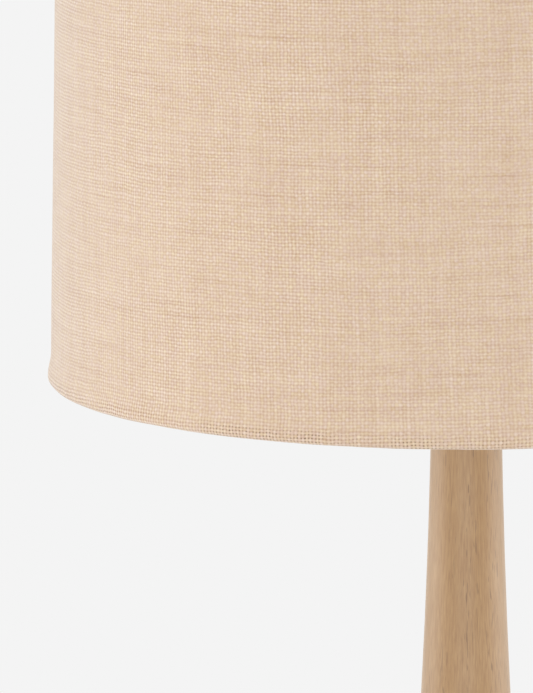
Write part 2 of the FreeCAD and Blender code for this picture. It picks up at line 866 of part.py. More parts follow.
def socket_body():
    blank = turned("socket_body_blank", [
        (0, socket_body_bottom),
        (socket_body_radius, socket_body_bottom),
        (socket_body_radius, socket_body_top),
        (0, socket_body_top),
    ])
    deep = socket_body_radius - socket_body_flat
    wide = socket_body_radius * 2
    flats = []
    for side in (-1, 1):
        flat = block(f"terminal_flat_{side}", deep, wide, socket_flat_height)
        left = socket_body_flat if side > 0 else -socket_body_radius
        flats.append(move(flat, left, -socket_body_radius, switch_level - socket_flat_height / 2))
    terminal_hole = cylinder("terminal_hole", terminal_shank_radius + terminal_play, wide)
    move(facing(terminal_hole, *RIGHT), across=-socket_body_radius, up=switch_level)
    shaft_hole = cylinder("shaft_hole", switch_shaft_bore, socket_body_radius)
    move(facing(shaft_hole, *FORWARD), back=-switch_shaft_start, up=switch_level)
    return cut("socket_body", blank, *flats, terminal_hole, shaft_hole)


def terminal_screws():
    screws = []
    for side, direction in ((-1, LEFT), (1, RIGHT)):
        shank = cylinder(f"terminal_shank_{side}", terminal_shank_radius, terminal_shank_length)
        head = cylinder(f"terminal_head_{side}", terminal_head_radius, terminal_head_thickness)
        head_start = socket_body_flat + terminal_play
        shank_start = head_start - terminal_shank_length
        move(facing(head, *direction), across=head_start * side, up=switch_level)
        move(facing(shank, *direction), across=shank_start * side, up=switch_level)
        screws.append(fused(f"terminal_screw_{side}", shank, head))
    return group("terminal_screws", screws)


def screw_shell():
    top = socket_body_top + screw_shell_height
    return tube("screw_shell", screw_shell_bore, screw_shell_radius, socket_body_top, top)


def centre_contact():
    top = socket_body_top + contact_height
    return turned("centre_contact", [
        (0, socket_body_top),
        (contact_radius, socket_body_top),
        (contact_radius / 2, top),
        (0, top),
    ])


def switch_bushing():
    start = insulator_bore + bushing_play
    collar = shell_radius + bushing_play
    nose = collar + bushing_collar_thickness
    body = turned("switch_bushing", [
        (switch_shaft_bore, start),
        (bushing_radius, start),
        (bushing_radius, collar),
        (bushing_collar_radius, collar),
        (bushing_collar_radius, nose),
        (bushing_nose_radius, nose),
        (bushing_nose_radius, bushing_end),
        (switch_shaft_bore, bushing_end),
    ])
    return move(facing(body, *FORWARD), up=switch_level)


def switch_shaft():
    start = switch_shaft_start + bushing_play
    body = turned("switch_shaft", [
        (0, start),
        (switch_shaft_radius, start),
        (switch_shaft_radius, switch_shaft_end),
        (0, switch_shaft_end),
    ])
    return move(facing(body, *FORWARD), up=switch_level)


def switch_knob():
    bore = switch_shaft_bore
    bore_end = switch_shaft_end + switch_shaft_play
    start = bushing_end + knob_gap
    end = start + knob_length
    shoulder = start + knob_neck_length
    body = turned("switch_knob", [
        (bore, start),
        (knob_neck_radius, start),
        (knob_neck_radius, shoulder),
        (knob_radius, shoulder),
        (knob_radius, end - knob_round),
        (knob_radius - knob_round, end, knob_round, 1),
        (0, end),
        (0, bore_end),
        (bore, bore_end),
    ])
    plain_volume = body.Shape.Volume
    sketch = new_sketch(body, "XY_Plane", "flute", end)
    centre = knob_radius + flute_radius - flute_depth
    sketch.addGeometry(Part.Circle(Vector(centre.value, 0, 0), Vector(0, 0, 1), flute_radius.value))
    fix(sketch, "Radius", 0, to=flute_radius)
    place_point(sketch, 0, 3, centre, 0)
    flute = body.newObject("PartDesign::Pocket", "flute_cut")
    flute.Profile = sketch
    bind(flute, Length=knob_grip_depth)
    flutes = body.newObject("PartDesign::PolarPattern", "flutes")
    flutes.Originals = [flute]
    flutes.Axis = (sketch, ["N_Axis"])
    flutes.Angle = 360
    flutes.Occurrences = FLUTE_COUNT
    body.Tip = flutes
    doc.recompute()
    if body.Shape.Volume >= plain_volume:
        raise RuntimeError("switch_knob: the flutes were not cut")
    return move(facing(body, *FORWARD), up=switch_level)


# Bulb.

def bulb_outline(inset):
    """The neck's end, the cone's start and end, and the top of the glass, set in from outside."""
    ball = bulb_radius - inset
    neck = bulb_neck_radius - inset
    touch_radius = ball * cosine(bulb_neck_angle)
    touch_level = bulb_centre - ball * sine(bulb_neck_angle)
    drop = (touch_radius - neck) * cosine(bulb_neck_angle) / sine(bulb_neck_angle)
    return neck, touch_level - drop, touch_radius, touch_level, ball


def bulb_glass():
    neck, neck_top, touch_radius, touch_level, ball = bulb_outline(as_size(0))
    bore, bore_top, inner_radius, inner_level, hollow = bulb_outline(glass_wall)
    return turned("bulb_glass", [
        (bore, bulb_neck_bottom),
        (neck, bulb_neck_bottom),
        (neck, neck_top),
        (touch_radius, touch_level),
        (0, bulb_centre + ball, ball, 1),
        (0, bulb_centre + hollow),
        (inner_radius, inner_level, hollow, -1),
        (bore, bore_top),
    ])


def bulb_cap():
    bore = bulb_cap_radius - bulb_cap_wall
    return turned("bulb_cap", [
        (bulb_insulator_radius, bulb_cap_bottom),
        (bore, bulb_cap_bottom),
        (bulb_cap_radius, bulb_cap_bottom + bulb_cap_bevel),
        (bulb_cap_radius, bulb_cap_top),
        (bore, bulb_cap_top),
        (bore, bulb_cap_bottom + bulb_cap_bevel),
        (bulb_insulator_radius, bulb_cap_bottom + bulb_cap_wall),
    ])


def bulb_insulator():
    return turned("bulb_insulator", [
        (0, bulb_insulator_bottom),
        (bulb_contact_radius, bulb_insulator_bottom),
        (bulb_insulator_radius, bulb_cap_bottom),
        (0, bulb_cap_bottom),
    ])


def bulb_contact():
    return turned("bulb_contact", [
        (0, bulb_bottom),
        (bulb_contact_radius / 2, bulb_bottom),
        (bulb_contact_radius, bulb_insulator_bottom),
        (0, bulb_insulator_bottom),
    ])


def bulb_stem():
    flare = bulb_neck_radius - glass_wall - bulb_neck_play
    flare_top = bulb_neck_bottom + stem_flare_thickness
    return turned("bulb_stem", [
        (0, bulb_neck_bottom),
        (flare, bulb_neck_bottom),
        (flare, flare_top),
        (stem_radius, flare_top + stem_flare_thickness),
        (stem_radius, stem_top),
        (0, stem_top),
    ])


def bulb_filament():
    lead = filament_lead_offset
    bend = filament_bend
    lead_top = stem_top + filament_lead
    bridge = stem_top + filament_rise
    return bent_wire("bulb_filament", filament_radius, [
        (-lead, stem_top),
        (-lead, lead_top, bend),
        (-filament_half_span, bridge, bend),
        (filament_half_span, bridge, bend),
        (lead, lead_top, bend),
        (lead, stem_top),
    ])


# Shade.

def fabric_radius(level):
    """The fabric's outer radius at a level: the drum narrows a little towards its top."""
    return shade_radius - shade_taper * (level - rim_level) / shade_height


def ring_radius(level):
    return fabric_radius(level) + hem_bulge - hem_reach


bottom_ring_level = rim_level + hem_reach
top_ring_level = shade_top - hem_reach


def shade_sheet(label, outset, thickness, bottom, top):
    """A cone-shaped sheet whose outer face lies inside the fabric's by the outset."""
    outer = [fabric_radius(level) - outset for level in (bottom, top)]
    return turned(label, [
        (outer[0] - thickness, bottom),
        (outer[0], bottom),
        (outer[1], top),
        (outer[1] - thickness, top),
    ])


def shade_liner():
    end_gap = ring_wire_radius + liner_end_gap
    bottom = bottom_ring_level + end_gap
    top = top_ring_level - end_gap
    outset = fabric_thickness + glue_gap
    return shade_sheet("shade_liner", outset, liner_thickness, bottom, top)


def shade_fabric():
    bottom = rim_level + hem_height
    top = shade_top - hem_height
    return shade_sheet("shade_fabric", as_size(0), fabric_thickness, bottom, top)


def ring(label, level):
    item = doc.addObject("Part::Torus", label)
    bind(item, Radius1=ring_radius(level), Radius2=ring_wire_radius)
    return move(item, up=level)


def hem(label, level, side, tuck=None):
    """Fabric that leaves the drum and passes round the ring, then is tucked in; side is 1 below."""
    centre = ring_radius(level)
    edge = level + side * (hem_height - hem_reach)
    outer = fabric_radius(edge)
    tucked = []
    if tuck is not None:
        tucked_edge = level + side * tuck
        tucked = [(centre - hem_reach, tucked_edge), (centre - ring_reach, tucked_edge)]
    return turned(label, [
        (outer, edge),
        (centre + hem_reach, level),
        (centre, level - side * hem_reach, hem_reach, -side),
        (centre - hem_reach, level, hem_reach, -side),
        *tucked,
        (centre - ring_reach, level),
        (centre, level - side * ring_reach, ring_reach, side),
        (centre + ring_reach, level, ring_reach, side),
        (outer - fabric_thickness, edge),
    ])


def spider_arm(label, angle):
    """A wire from the hub out to the top ring, which it meets from below at 45 degrees."""
    level = hub_top - hub_thickness / 2
    diagonal = as_size(math.sqrt(0.5))
    weld = (ring_wire_radius + spider_weld_gap) * diagonal
    end_radius = ring_radius(top_ring_level) - weld
    end_level = top_ring_level - weld
    arm = bent_wire(label, spider_wire_radius, [
        (hub_radius + spider_weld_gap, level),
        (end_radius - (end_level - level), level, spider_wire_bend),
        (end_radius, end_level),
    ], rises=False)
    return facing(arm, Vector(0, 0, 1), angle)


def spider_hub():
    return tube("spider_hub", stud_radius + hub_play, hub_radius, seat_level, hub_top)


# Finial.

finial_top = hub_top + finial_base_height


def finial_base():
    bore = stud_radius + finial_play
    bore_top = seat_level + stud_length + finial_bore_spare
    foot = hub_top + finial_foot_height
    crown = finial_top - finial_top_height
    slope = finial_base_radius - finial_neck_radius
    return turned("finial_base", [
        (bore, hub_top),
        (finial_base_radius, hub_top),
        (finial_base_radius, foot),
        (finial_neck_radius, foot + slope),
        (finial_neck_radius, crown - slope / 2),
        (finial_ball_flat, crown),
        (finial_ball_flat, finial_top),
        (0, finial_top),
        (0, bore_top),
        (bore, bore_top),
    ])


def finial_knob():
    ball = finial_ball_radius
    centre = finial_top + root(ball * ball - finial_ball_flat * finial_ball_flat)
    return turned("finial_knob", [
        (0, finial_top),
        (finial_ball_flat, finial_top),
        (ball, centre, ball, 1),
        (0, centre + ball, ball, 1),
    ])


# Assembly.

add(felt_pad(), base_disc(), ballast_plate(), ballast_screws(), cord_bushing())
add(column(), threaded_rod(), bottom_washer(), hexagon_nut("bottom_nut", nut_bottom), column_cap())
add(tube("neck_tube", rod_hole_radius, neck_radius, neck_bottom, saddle_bottom))
add(harp_saddle(), hexagon_nut("saddle_nut", saddle_top))
add(socket_cap(), set_screw(), socket_shell(), insulating_liner(), socket_body(), terminal_screws())
add(screw_shell(), centre_contact(), switch_bushing(), switch_shaft(), switch_knob())
add(bulb_glass(), bulb_cap(), bulb_insulator(), bulb_contact(), bulb_stem(), bulb_filament())
for name, side in (("left", -1), ("right", 1)):
    add(harp_wire(f"harp_wire_{name}", side), harp_sleeve(f"harp_sleeve_{name}", side))
add(harp_top(), harp_stud())
add(shade_liner(), shade_fabric())
add(ring("top_ring", top_ring_level), hem("top_hem", top_ring_level, -1))
add(ring("bottom_ring", bottom_ring_level), hem("bottom_hem", bottom_ring_level, 1, hem_tuck))
for name, angle in (("back", 90), ("left", 210), ("right", 330)):
    add(spider_arm(f"spider_arm_{name}", angle))
add(spider_hub(), finial_base(), finial_knob())

doc.recompute()
for item in doc.Objects:
    if {"Invalid", "Error"} & set(item.State):
        raise RuntimeError(f"{item.Label} failed: {item.State}")
for item in subparts:
    if item.Shape.isNull() or not item.Shape.isValid():
        raise RuntimeError(f"{item.Label} has no valid shape")
for item in subparts:
    item.Shape.exportStep(f"parts/{item.Label}.step")
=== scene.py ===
import json
import math

import bmesh
import bpy
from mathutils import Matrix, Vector, noise


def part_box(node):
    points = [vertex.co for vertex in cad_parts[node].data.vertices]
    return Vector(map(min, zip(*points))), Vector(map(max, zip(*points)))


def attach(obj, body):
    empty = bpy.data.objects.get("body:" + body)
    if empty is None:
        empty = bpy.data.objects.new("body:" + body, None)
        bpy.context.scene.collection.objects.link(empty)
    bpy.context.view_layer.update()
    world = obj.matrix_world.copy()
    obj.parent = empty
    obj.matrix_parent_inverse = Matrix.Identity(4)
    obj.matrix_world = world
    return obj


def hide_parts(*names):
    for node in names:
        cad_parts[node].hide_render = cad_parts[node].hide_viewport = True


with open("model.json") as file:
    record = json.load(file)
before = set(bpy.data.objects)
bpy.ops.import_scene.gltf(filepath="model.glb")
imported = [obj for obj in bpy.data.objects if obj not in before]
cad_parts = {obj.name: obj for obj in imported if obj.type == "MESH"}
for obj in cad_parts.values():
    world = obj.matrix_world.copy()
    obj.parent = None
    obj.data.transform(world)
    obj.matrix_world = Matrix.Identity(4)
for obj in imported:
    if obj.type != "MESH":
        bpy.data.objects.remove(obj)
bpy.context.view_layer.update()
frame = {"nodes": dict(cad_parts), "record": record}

# The column table lamp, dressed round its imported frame. Metres; the front is -Y and +Z is up.


# Small helpers.

def srgb(red, green, blue):
    """A colour written as screen values from 0 to 255, as the linear colour that nodes take."""
    channels = [value / 255 for value in (red, green, blue)]
    linear = [c / 12.92 if c <= 0.04045 else ((c + 0.055) / 1.055) ** 2.4 for c in channels]
    return (*linear, 1.0)


def ease(amount):
    """0 below 0, 1 above 1, and a smooth rise between."""
    amount = min(1.0, max(0.0, amount))
    return amount * amount * (3 - 2 * amount)


class Paint:
    """One material's node tree, with a short call for each kind of node that it uses."""

    def __init__(self, name, roughness=0.5, metallic=0.0):
        self.material = bpy.data.materials.new(name)
        self.material.use_nodes = True
        self.tree = self.material.node_tree
        self.shader = self.tree.nodes["Principled BSDF"]
        self.shader.inputs["Roughness"].default_value = roughness
        self.shader.inputs["Metallic"].default_value = metallic
        self.place = self.add("ShaderNodeTexCoord").outputs["Object"]

    def add(self, kind, **settings):
        node = self.tree.nodes.new(kind)
        for name, value in settings.items():
            setattr(node, name, value)
        return node

    def put(self, socket, value):
        """Join a node's output to a socket, or set the socket to a constant."""
        if isinstance(value, bpy.types.NodeSocket):
            self.tree.links.new(value, socket)
        else:
            socket.default_value = value

    def set(self, **inputs):
        """Set the shader's inputs; an underscore in a name stands for a space."""
        for name, value in inputs.items():
            self.put(self.shader.inputs[name.replace("_", " ")], value)

    def math(self, operation, *values):
        node = self.add("ShaderNodeMath", operation=operation)
        for socket, value in zip(node.inputs, values):
            self.put(socket, value)
        return node.outputs[0]

    def plus(self, *values):
        total = values[0]
        for value in values[1:]:
            total = self.math("ADD", total, value)
        return total

    def times(self, a, b):
        return self.math("MULTIPLY", a, b)

    def minus(self, a, b):
        return self.math("SUBTRACT", a, b)

    def fit(self, value, low, high, to_low=0.0, to_high=1.0, smooth=False):
        """Map a range to another, with the ends held."""
        node = self.add("ShaderNodeMapRange", interpolation_type="SMOOTHSTEP" if smooth else "LINEAR")
        for name, amount in (("Value", value), ("From Min", low), ("From Max", high),
                             ("To Min", to_low), ("To Max", to_high)):
            self.put(node.inputs[name], amount)
        return node.outputs[0]

    def vector(self, x=0.0, y=0.0, z=0.0):
        node = self.add("ShaderNodeCombineXYZ")
        for socket, value in zip(node.inputs, (x, y, z)):
            self.put(socket, value)
        return node.outputs[0]

    def split(self, vector):
        node = self.add("ShaderNodeSeparateXYZ")
        self.put(node.inputs[0], vector)
        return list(node.outputs)

    def stretched(self, vector, x, y, z):
        node = self.add("ShaderNodeVectorMath", operation="MULTIPLY")
        self.put(node.inputs[0], vector)
        self.put(node.inputs[1], (x, y, z))
        return node.outputs[0]

    def noise(self, vector, scale=1.0, detail=2.0, roughness=0.5, distortion=0.0):
        node = self.add("ShaderNodeTexNoise")
        for name, value in (("Vector", vector), ("Scale", scale), ("Detail", detail),
                            ("Roughness", roughness), ("Distortion", distortion)):
            self.put(node.inputs[name], value)
        return node.outputs[0]

    def chance(self, vector):
        """A random number from 0 to 1 for each whole place."""
        node = self.add("ShaderNodeTexWhiteNoise", noise_dimensions="3D")
        self.put(node.inputs["Vector"], vector)
        return node.outputs["Value"]

    def mix(self, factor, a, b, blend="MIX"):
        node = self.add("ShaderNodeMix", data_type="RGBA", blend_type=blend)
        self.put(node.inputs[0], factor)
        self.put(node.inputs[6], a)
        self.put(node.inputs[7], b)
        return node.outputs[2]

    def bump(self, height, strength):
        """Relief from a height in metres."""
        node = self.add("ShaderNodeBump")
        for name, value in (("Height", height), ("Strength", strength), ("Distance", 1.0)):
            self.put(node.inputs[name], value)
        return node.outputs[0]


# Cloth. The UV layer "cloth" holds metres: round the drum from the back seam, and along the strip from
# its bottom edge, which is tucked inside the bottom ring.

WARP_PITCH = 0.00187
WEFT_PITCH = 0.00169
WEAVE_TILT = math.radians(1.7)
YARN_RELIEF = 0.00007
DRUM_RADIUS = 0.204
LIT_SIDE = 1.9               # radians round the drum from the seam to the lit left side, where the painted weave shade is made strongest, as raking light would show it
HEM_EDGE = (0.0092, 0.0104)   # metres along the strip where the fold's open rows, with painted shade in their gaps, fade in
FOLD_ROWS = (0.0140, 0.0180)  # and where they fade out


def yarn_noise(paint, index, along, rate, seed):
    """Noise that runs along each yarn by itself."""
    own = paint.chance(paint.vector(index, seed, 0.5))
    return paint.noise(paint.vector(paint.times(own, 90.0), paint.times(along, rate), seed), 1.0, 2.0)


def linen():
    """Coarse plain weave in natural yarns of uneven thickness, a little askew on the drum."""
    paint = Paint("natural_linen", roughness=0.9)
    cloth = paint.add("ShaderNodeUVMap", uv_map="cloth").outputs[0]
    across, up, _ = paint.split(cloth)

    def wander(scale, amount, seed):
        """How far the yarns stray sideways, in metres."""
        place = paint.vector(paint.plus(across, seed), up, seed)
        return paint.times(paint.minus(paint.noise(place, scale, 1.0), 0.5), amount)

    drift = paint.plus(
        wander(14.0, 0.0030, 1.3), wander(110.0, 0.0010, 4.1), wander(380.0, 0.0007, 2.2))
    sag = paint.plus(
        wander(16.0, 0.0034, 7.7), wander(120.0, 0.0010, 9.2), wander(400.0, 0.0006, 6.4))
    along_weft = paint.plus(
        paint.times(across, math.cos(WEAVE_TILT)), paint.times(up, math.sin(WEAVE_TILT)), drift)
    along_warp = paint.plus(
        paint.times(up, math.cos(WEAVE_TILT)), paint.times(across, -math.sin(WEAVE_TILT)), sag)
    u = paint.math("DIVIDE", along_weft, WARP_PITCH)
    v = paint.math("DIVIDE", along_warp, WEFT_PITCH)
    warp = paint.math("FLOOR", u)
    weft = paint.math("FLOOR", v)

    def ridge(count, index, along, seed):
        """A yarn's rise, from -1 between yarns to 1 along its back, more or less by its thickness."""
        wave = paint.math("COSINE", paint.times(paint.minus(count, 0.5), 2 * math.pi))
        thickness = yarn_noise(paint, index, along, 0.14, seed)
        return paint.times(wave, paint.fit(thickness, 0.3, 0.7, 0.5, 1.5))

    def lightness(index, along, seed):
        """A yarn's own lightness, and slow changes along it."""
        own = paint.minus(paint.chance(paint.vector(index, seed, 2.5)), 0.5)
        slow = paint.minus(yarn_noise(paint, index, along, 0.06, seed + 0.7), 0.5)
        return paint.plus(paint.times(own, 0.07), paint.times(slow, 0.30))

    warp_ridge = ridge(u, warp, v, 3.0)
    weft_ridge = ridge(v, weft, u, 8.0)
    over = paint.times(
        paint.math("SINE", paint.times(u, math.pi)), paint.math("SINE", paint.times(v, math.pi)))
    cell = paint.vector(
        paint.math("FLOOR", paint.times(u, 2.0)), paint.math("FLOOR", paint.times(v, 2.0)), 5.5)
    tuft = paint.minus(paint.chance(cell), 0.5)
    clouds = paint.minus(paint.noise(paint.stretched(cloth, 40.0, 90.0, 1.0), 1.0, 3.0), 0.5)
    slubs = paint.fit(paint.noise(paint.stretched(cloth, 16.0, 420.0, 1.0), 1.0, 1.0), 0.60, 0.78)
    fold = paint.times(paint.fit(up, *HEM_EDGE), paint.fit(up, *FOLD_ROWS, 1.0, 0.0))
    # Painted shading: the weave's shade is made stronger towards the lit left side of the drum, as raking
    # light would show it.
    lit_side = paint.math("COSINE", paint.minus(paint.math("DIVIDE", across, DRUM_RADIUS), LIT_SIDE))
    loose = paint.fit(paint.noise(cloth, 26.0, 1.0), 0.3, 0.7, 0.78, 1.22)
    # How strongly the painted weave shade shows: more where the cloth is looser, at the fold rows and
    # towards the lit side.
    weave_shade_strength = paint.plus(
        paint.times(loose, paint.fit(lit_side, 0.2, 1.0, 0.66, 1.2)), paint.times(fold, 0.25))
    # Painted shade: the weave's colour is darker between the yarns and at their crossings, where shade falls
    # in the weave's hollows.
    weave = paint.plus(
        paint.times(warp_ridge, 0.16), paint.times(weft_ridge, 0.18), paint.times(over, 0.10))
    tone = paint.plus(
        0.5,
        paint.times(weave, weave_shade_strength),
        lightness(warp, v, 33.0),
        lightness(weft, u, 21.0),
        paint.times(tuft, 0.22),
        paint.times(clouds, 0.20),
        paint.times(slubs, -0.18),
    )
    # The dark end of the yarn colour is partly the yarns' own darker tone and partly the painted shade
    # between them.
    yarn = paint.mix(paint.fit(tone, -0.25, 1.25), srgb(192, 155, 128), srgb(250, 237, 220))
    hue = paint.plus(
        paint.times(paint.chance(paint.vector(weft, warp, 9.5)), 0.85),
        paint.times(paint.noise(paint.stretched(cloth, 150.0, 220.0, 1.0), 1.0, 3.0), 0.25))
    tint = paint.mix(paint.fit(hue, 0.1, 1.0), srgb(255, 250, 251), srgb(255, 251, 236))
    yarn = paint.mix(1.0, yarn, tint, "MULTIPLY")
    # Painted shade: at the fold rows the gaps between yarns get a dark colour, as the shade's dim inside
    # would show through them.
    between = paint.times(paint.fit(warp_ridge, 0.0, -0.8), paint.fit(weft_ridge, 0.0, -0.8))
    gaping = paint.times(
        paint.fit(paint.noise(cloth, 22.0, 1.0), 0.35, 0.6, 0.25, 1.0),
        paint.fit(paint.chance(cell), 0.2, 0.8, 0.2, 1.1))
    gap_shade = paint.times(between, paint.times(fold, gaping))
    height = paint.plus(warp_ridge, weft_ridge, over)
    # The dark colour mixed in at the fold's gaps is painted shade.
    paint.set(
        Base_Color=paint.mix(gap_shade, yarn, srgb(112, 88, 66)),
        Sheen_Weight=0.55,
        Sheen_Roughness=0.5,
        Specular_IOR_Level=0.2,
        Normal=paint.bump(paint.times(height, YARN_RELIEF), 0.6),
    )
    return paint.material


# Wood.

def wood():
    """Pale wood: fine upright grain, a few short dark pores and soft warm blotches."""
    paint = Paint("turned_wood")
    place = paint.place
    grain = paint.noise(paint.stretched(place, 1400.0, 1400.0, 75.0), 1.0, 2.0, 0.7)
    growth = paint.noise(paint.stretched(place, 150.0, 110.0, 7.0), 1.0, 2.0, 0.5, 0.4)
    blotch = paint.noise(paint.stretched(place, 45.0, 45.0, 20.0), 1.0, 2.0, 0.5)
    pore_noise = paint.noise(paint.stretched(place, 1300.0, 1300.0, 110.0), 1.0, 1.0, 0.4)
    pore_patch = paint.noise(paint.stretched(place, 170.0, 170.0, 9.0), 1.0, 1.0)
    pores = paint.times(paint.fit(pore_noise, 0.60, 0.70), paint.fit(pore_patch, 0.42, 0.60))
    base = paint.mix(paint.fit(blotch, 0.3, 0.7), srgb(181, 142, 94), srgb(194, 158, 114))
    base = paint.mix(paint.fit(growth, 0.35, 0.65, 0.0, 0.3), base, srgb(193, 157, 115))
    base = paint.mix(paint.fit(grain, 0.25, 0.75, 0.0, 0.8), base, srgb(159, 119, 80))
    base = paint.mix(paint.times(pores, 0.6), base, srgb(120, 90, 62))
    relief = paint.minus(paint.times(grain, 0.00001), paint.times(pores, 0.00005))
    paint.set(
        Base_Color=base,
        Roughness=paint.fit(grain, 0.2, 0.8, 0.40, 0.52),
        Specular_IOR_Level=0.5,
        Coat_Weight=0.4,
        Coat_Roughness=0.35,
        Sheen_Weight=0.7,
        Sheen_Tint=srgb(255, 236, 214),
        Normal=paint.bump(relief, 0.5),
    )
    return paint.material


# Metals, plastics and glass.

DULL = 0.72  # how light worn metal is beside its own colour


def metal(name, colour, shine, worn, brushed=(700.0, 700.0, 60.0)):
    """Turned or drawn metal: fine brush lines, and patches where handling has dulled it."""
    paint = Paint(name, metallic=1.0)
    lines = paint.noise(paint.stretched(paint.place, *brushed), 1.0, 2.0)
    patches = paint.noise(paint.place, 90.0, 3.0, 0.6)
    dull = tuple(channel * DULL for channel in colour[:3]) + (1.0,)
    paint.set(
        Base_Color=paint.mix(paint.fit(patches, 0.42, 0.75, 0.0, worn), colour, dull),
        Roughness=paint.plus(
            paint.fit(lines, 0.25, 0.75, shine - 0.07, shine + 0.07), paint.times(patches, 0.08)),
        Normal=paint.bump(paint.times(lines, 0.00001), 0.5),
    )
    return paint.material


def moulded(name, colour, highlight, roughness, grain_scale, grain_depth):
    """Moulded or coated stuff with a fine grain, and a lighter bloom in patches."""
    paint = Paint(name)
    grain = paint.noise(paint.place, grain_scale, 2.0)
    bloom = paint.noise(paint.place, 70.0, 3.0, 0.6)
    paint.set(
        Base_Color=paint.mix(paint.fit(bloom, 0.35, 0.7, 0.0, 0.5), colour, highlight),
        Roughness=paint.fit(grain, 0.3, 0.7, roughness - 0.06, roughness + 0.06),
        Normal=paint.bump(paint.times(grain, grain_depth), 0.6),
    )
    return paint.material


def felt():
    """Matted fibres, with the odd pale hair."""
    paint = Paint("felt", roughness=0.97)
    fibre = paint.noise(paint.place, 1500.0, 4.0, 0.7, 1.2)
    mat = paint.noise(paint.place, 260.0, 3.0, 0.6)
    colour = paint.mix(paint.fit(mat, 0.3, 0.7), srgb(64, 54, 46), srgb(92, 80, 69))
    paint.set(
        Base_Color=paint.mix(paint.fit(fibre, 0.55, 0.75, 0.0, 0.5), colour, srgb(128, 115, 102)),
        Sheen_Weight=0.3,
        Normal=paint.bump(paint.times(fibre, 0.0003), 0.8),
    )
    return paint.material


def opal_glass():
    """Glass coated white inside: milky, glossy outside, a little uneven in density."""
    paint = Paint("opal_glass", roughness=0.12)
    cloud = paint.noise(paint.place, 45.0, 3.0)
    paint.set(
        Base_Color=paint.mix(paint.fit(cloud, 0.3, 0.7), srgb(238, 236, 230), srgb(248, 246, 242)),
        Roughness=paint.fit(cloud, 0.3, 0.7, 0.10, 0.16),
        Subsurface_Weight=0.3,
        Subsurface_Scale=0.002,
    )
    return paint.material


def clear_glass():
    """Clear glass with a faint ripple."""
    paint = Paint("clear_glass", roughness=0.02)
    ripple = paint.noise(paint.place, 120.0, 2.0)
    paint.set(
        Base_Color=paint.mix(ripple, srgb(240, 246, 246), srgb(252, 253, 253)),
        Transmission_Weight=1.0,
        Normal=paint.bump(paint.times(ripple, 0.00004), 0.4),
    )
    return paint.material


def styrene():
    """Smooth white sheet that lets a little light through."""
    paint = Paint("white_styrene", roughness=0.42)
    cloud = paint.noise(paint.place, 22.0, 3.0)
    orange_peel = paint.noise(paint.place, 900.0, 2.0)
    paint.set(
        Base_Color=paint.mix(paint.fit(cloud, 0.3, 0.7), srgb(238, 232, 222), srgb(245, 241, 234)),
        Roughness=paint.fit(orange_peel, 0.3, 0.7, 0.36, 0.48),
        Normal=paint.bump(paint.times(orange_peel, 0.00002), 0.5),
    )
    return paint.material


def make_materials():
    """Every material, by the name of the slot that it dresses."""
    return {
        "natural_linen": linen(),
        "turned_wood": wood(),
        "felt": felt(),
        "satin_brass": metal("satin_brass", srgb(205, 172, 112), 0.30, 0.45),
        "zinc_steel": metal("zinc_steel", srgb(186, 188, 186), 0.34, 0.4),
        "bare_aluminium": metal("bare_aluminium", srgb(214, 214, 212), 0.28, 0.3, (60.0, 60.0, 2600.0)),
        "tungsten": metal("tungsten", srgb(120, 118, 116), 0.35, 0.3),
        "cast_iron": moulded("cast_iron", srgb(52, 52, 54), srgb(74, 71, 68), 0.68, 420.0, 0.0004),
        "black_plastic": moulded("black_plastic", srgb(27, 26, 26), srgb(37, 36, 35), 0.42, 1400.0, 0.00006),
        "phenolic": moulded("phenolic", srgb(50, 33, 24), srgb(66, 45, 32), 0.30, 700.0, 0.00003),
        "fibre_liner": moulded("fibre_liner", srgb(92, 80, 68), srgb(116, 103, 88), 0.75, 900.0, 0.0001),
        "black_glass": moulded("black_glass", srgb(20, 17, 24), srgb(32, 27, 36), 0.14, 300.0, 0.00003),
        "white_wire": moulded("white_wire", srgb(233, 230, 223), srgb(243, 241, 236), 0.34, 600.0, 0.00004),
        "white_styrene": styrene(),
        "opal_glass": opal_glass(),
        "clear_glass": clear_glass(),
    }


def dress_nodes(materials):
    """Give every CAD node its slot's material."""
    for row in frame["record"]["subparts"]:
        item = frame["nodes"][row["node"]]
        item.data.materials.clear()
        item.data.materials.append(materials[row["material_slot"]])


# Shade cloth: one strip of fabric from the top hem down to the bottom hem, glued up at the back.

CLOTH_THICKNESS = 0.0009
HEM_BULGE = 0.00145
HEM_HEIGHT = 0.0107
TUCK = 0.004
COLUMNS = 600
HEM_ROWS = 9
FOLD_STEPS = 18
DRUM_ROWS = 24
SEAM_LAP = 0.012
SEAM_RAMP = 0.006
SEAM_LIFT = CLOTH_THICKNESS * 1.08

# The cloth's unevenness: changes per radian round and per metre up, seed, and depth in metres.
SWELLS = ((9, 14, 0.3, 0.00022), (40, 30, 5.1, 0.000077))


def ring_shape(node):
    """A ring's wire centre: its radius and its height."""
    low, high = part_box(node)
    wire = (high[2] - low[2]) / 2
    return high[0] - wire, low[2] + wire


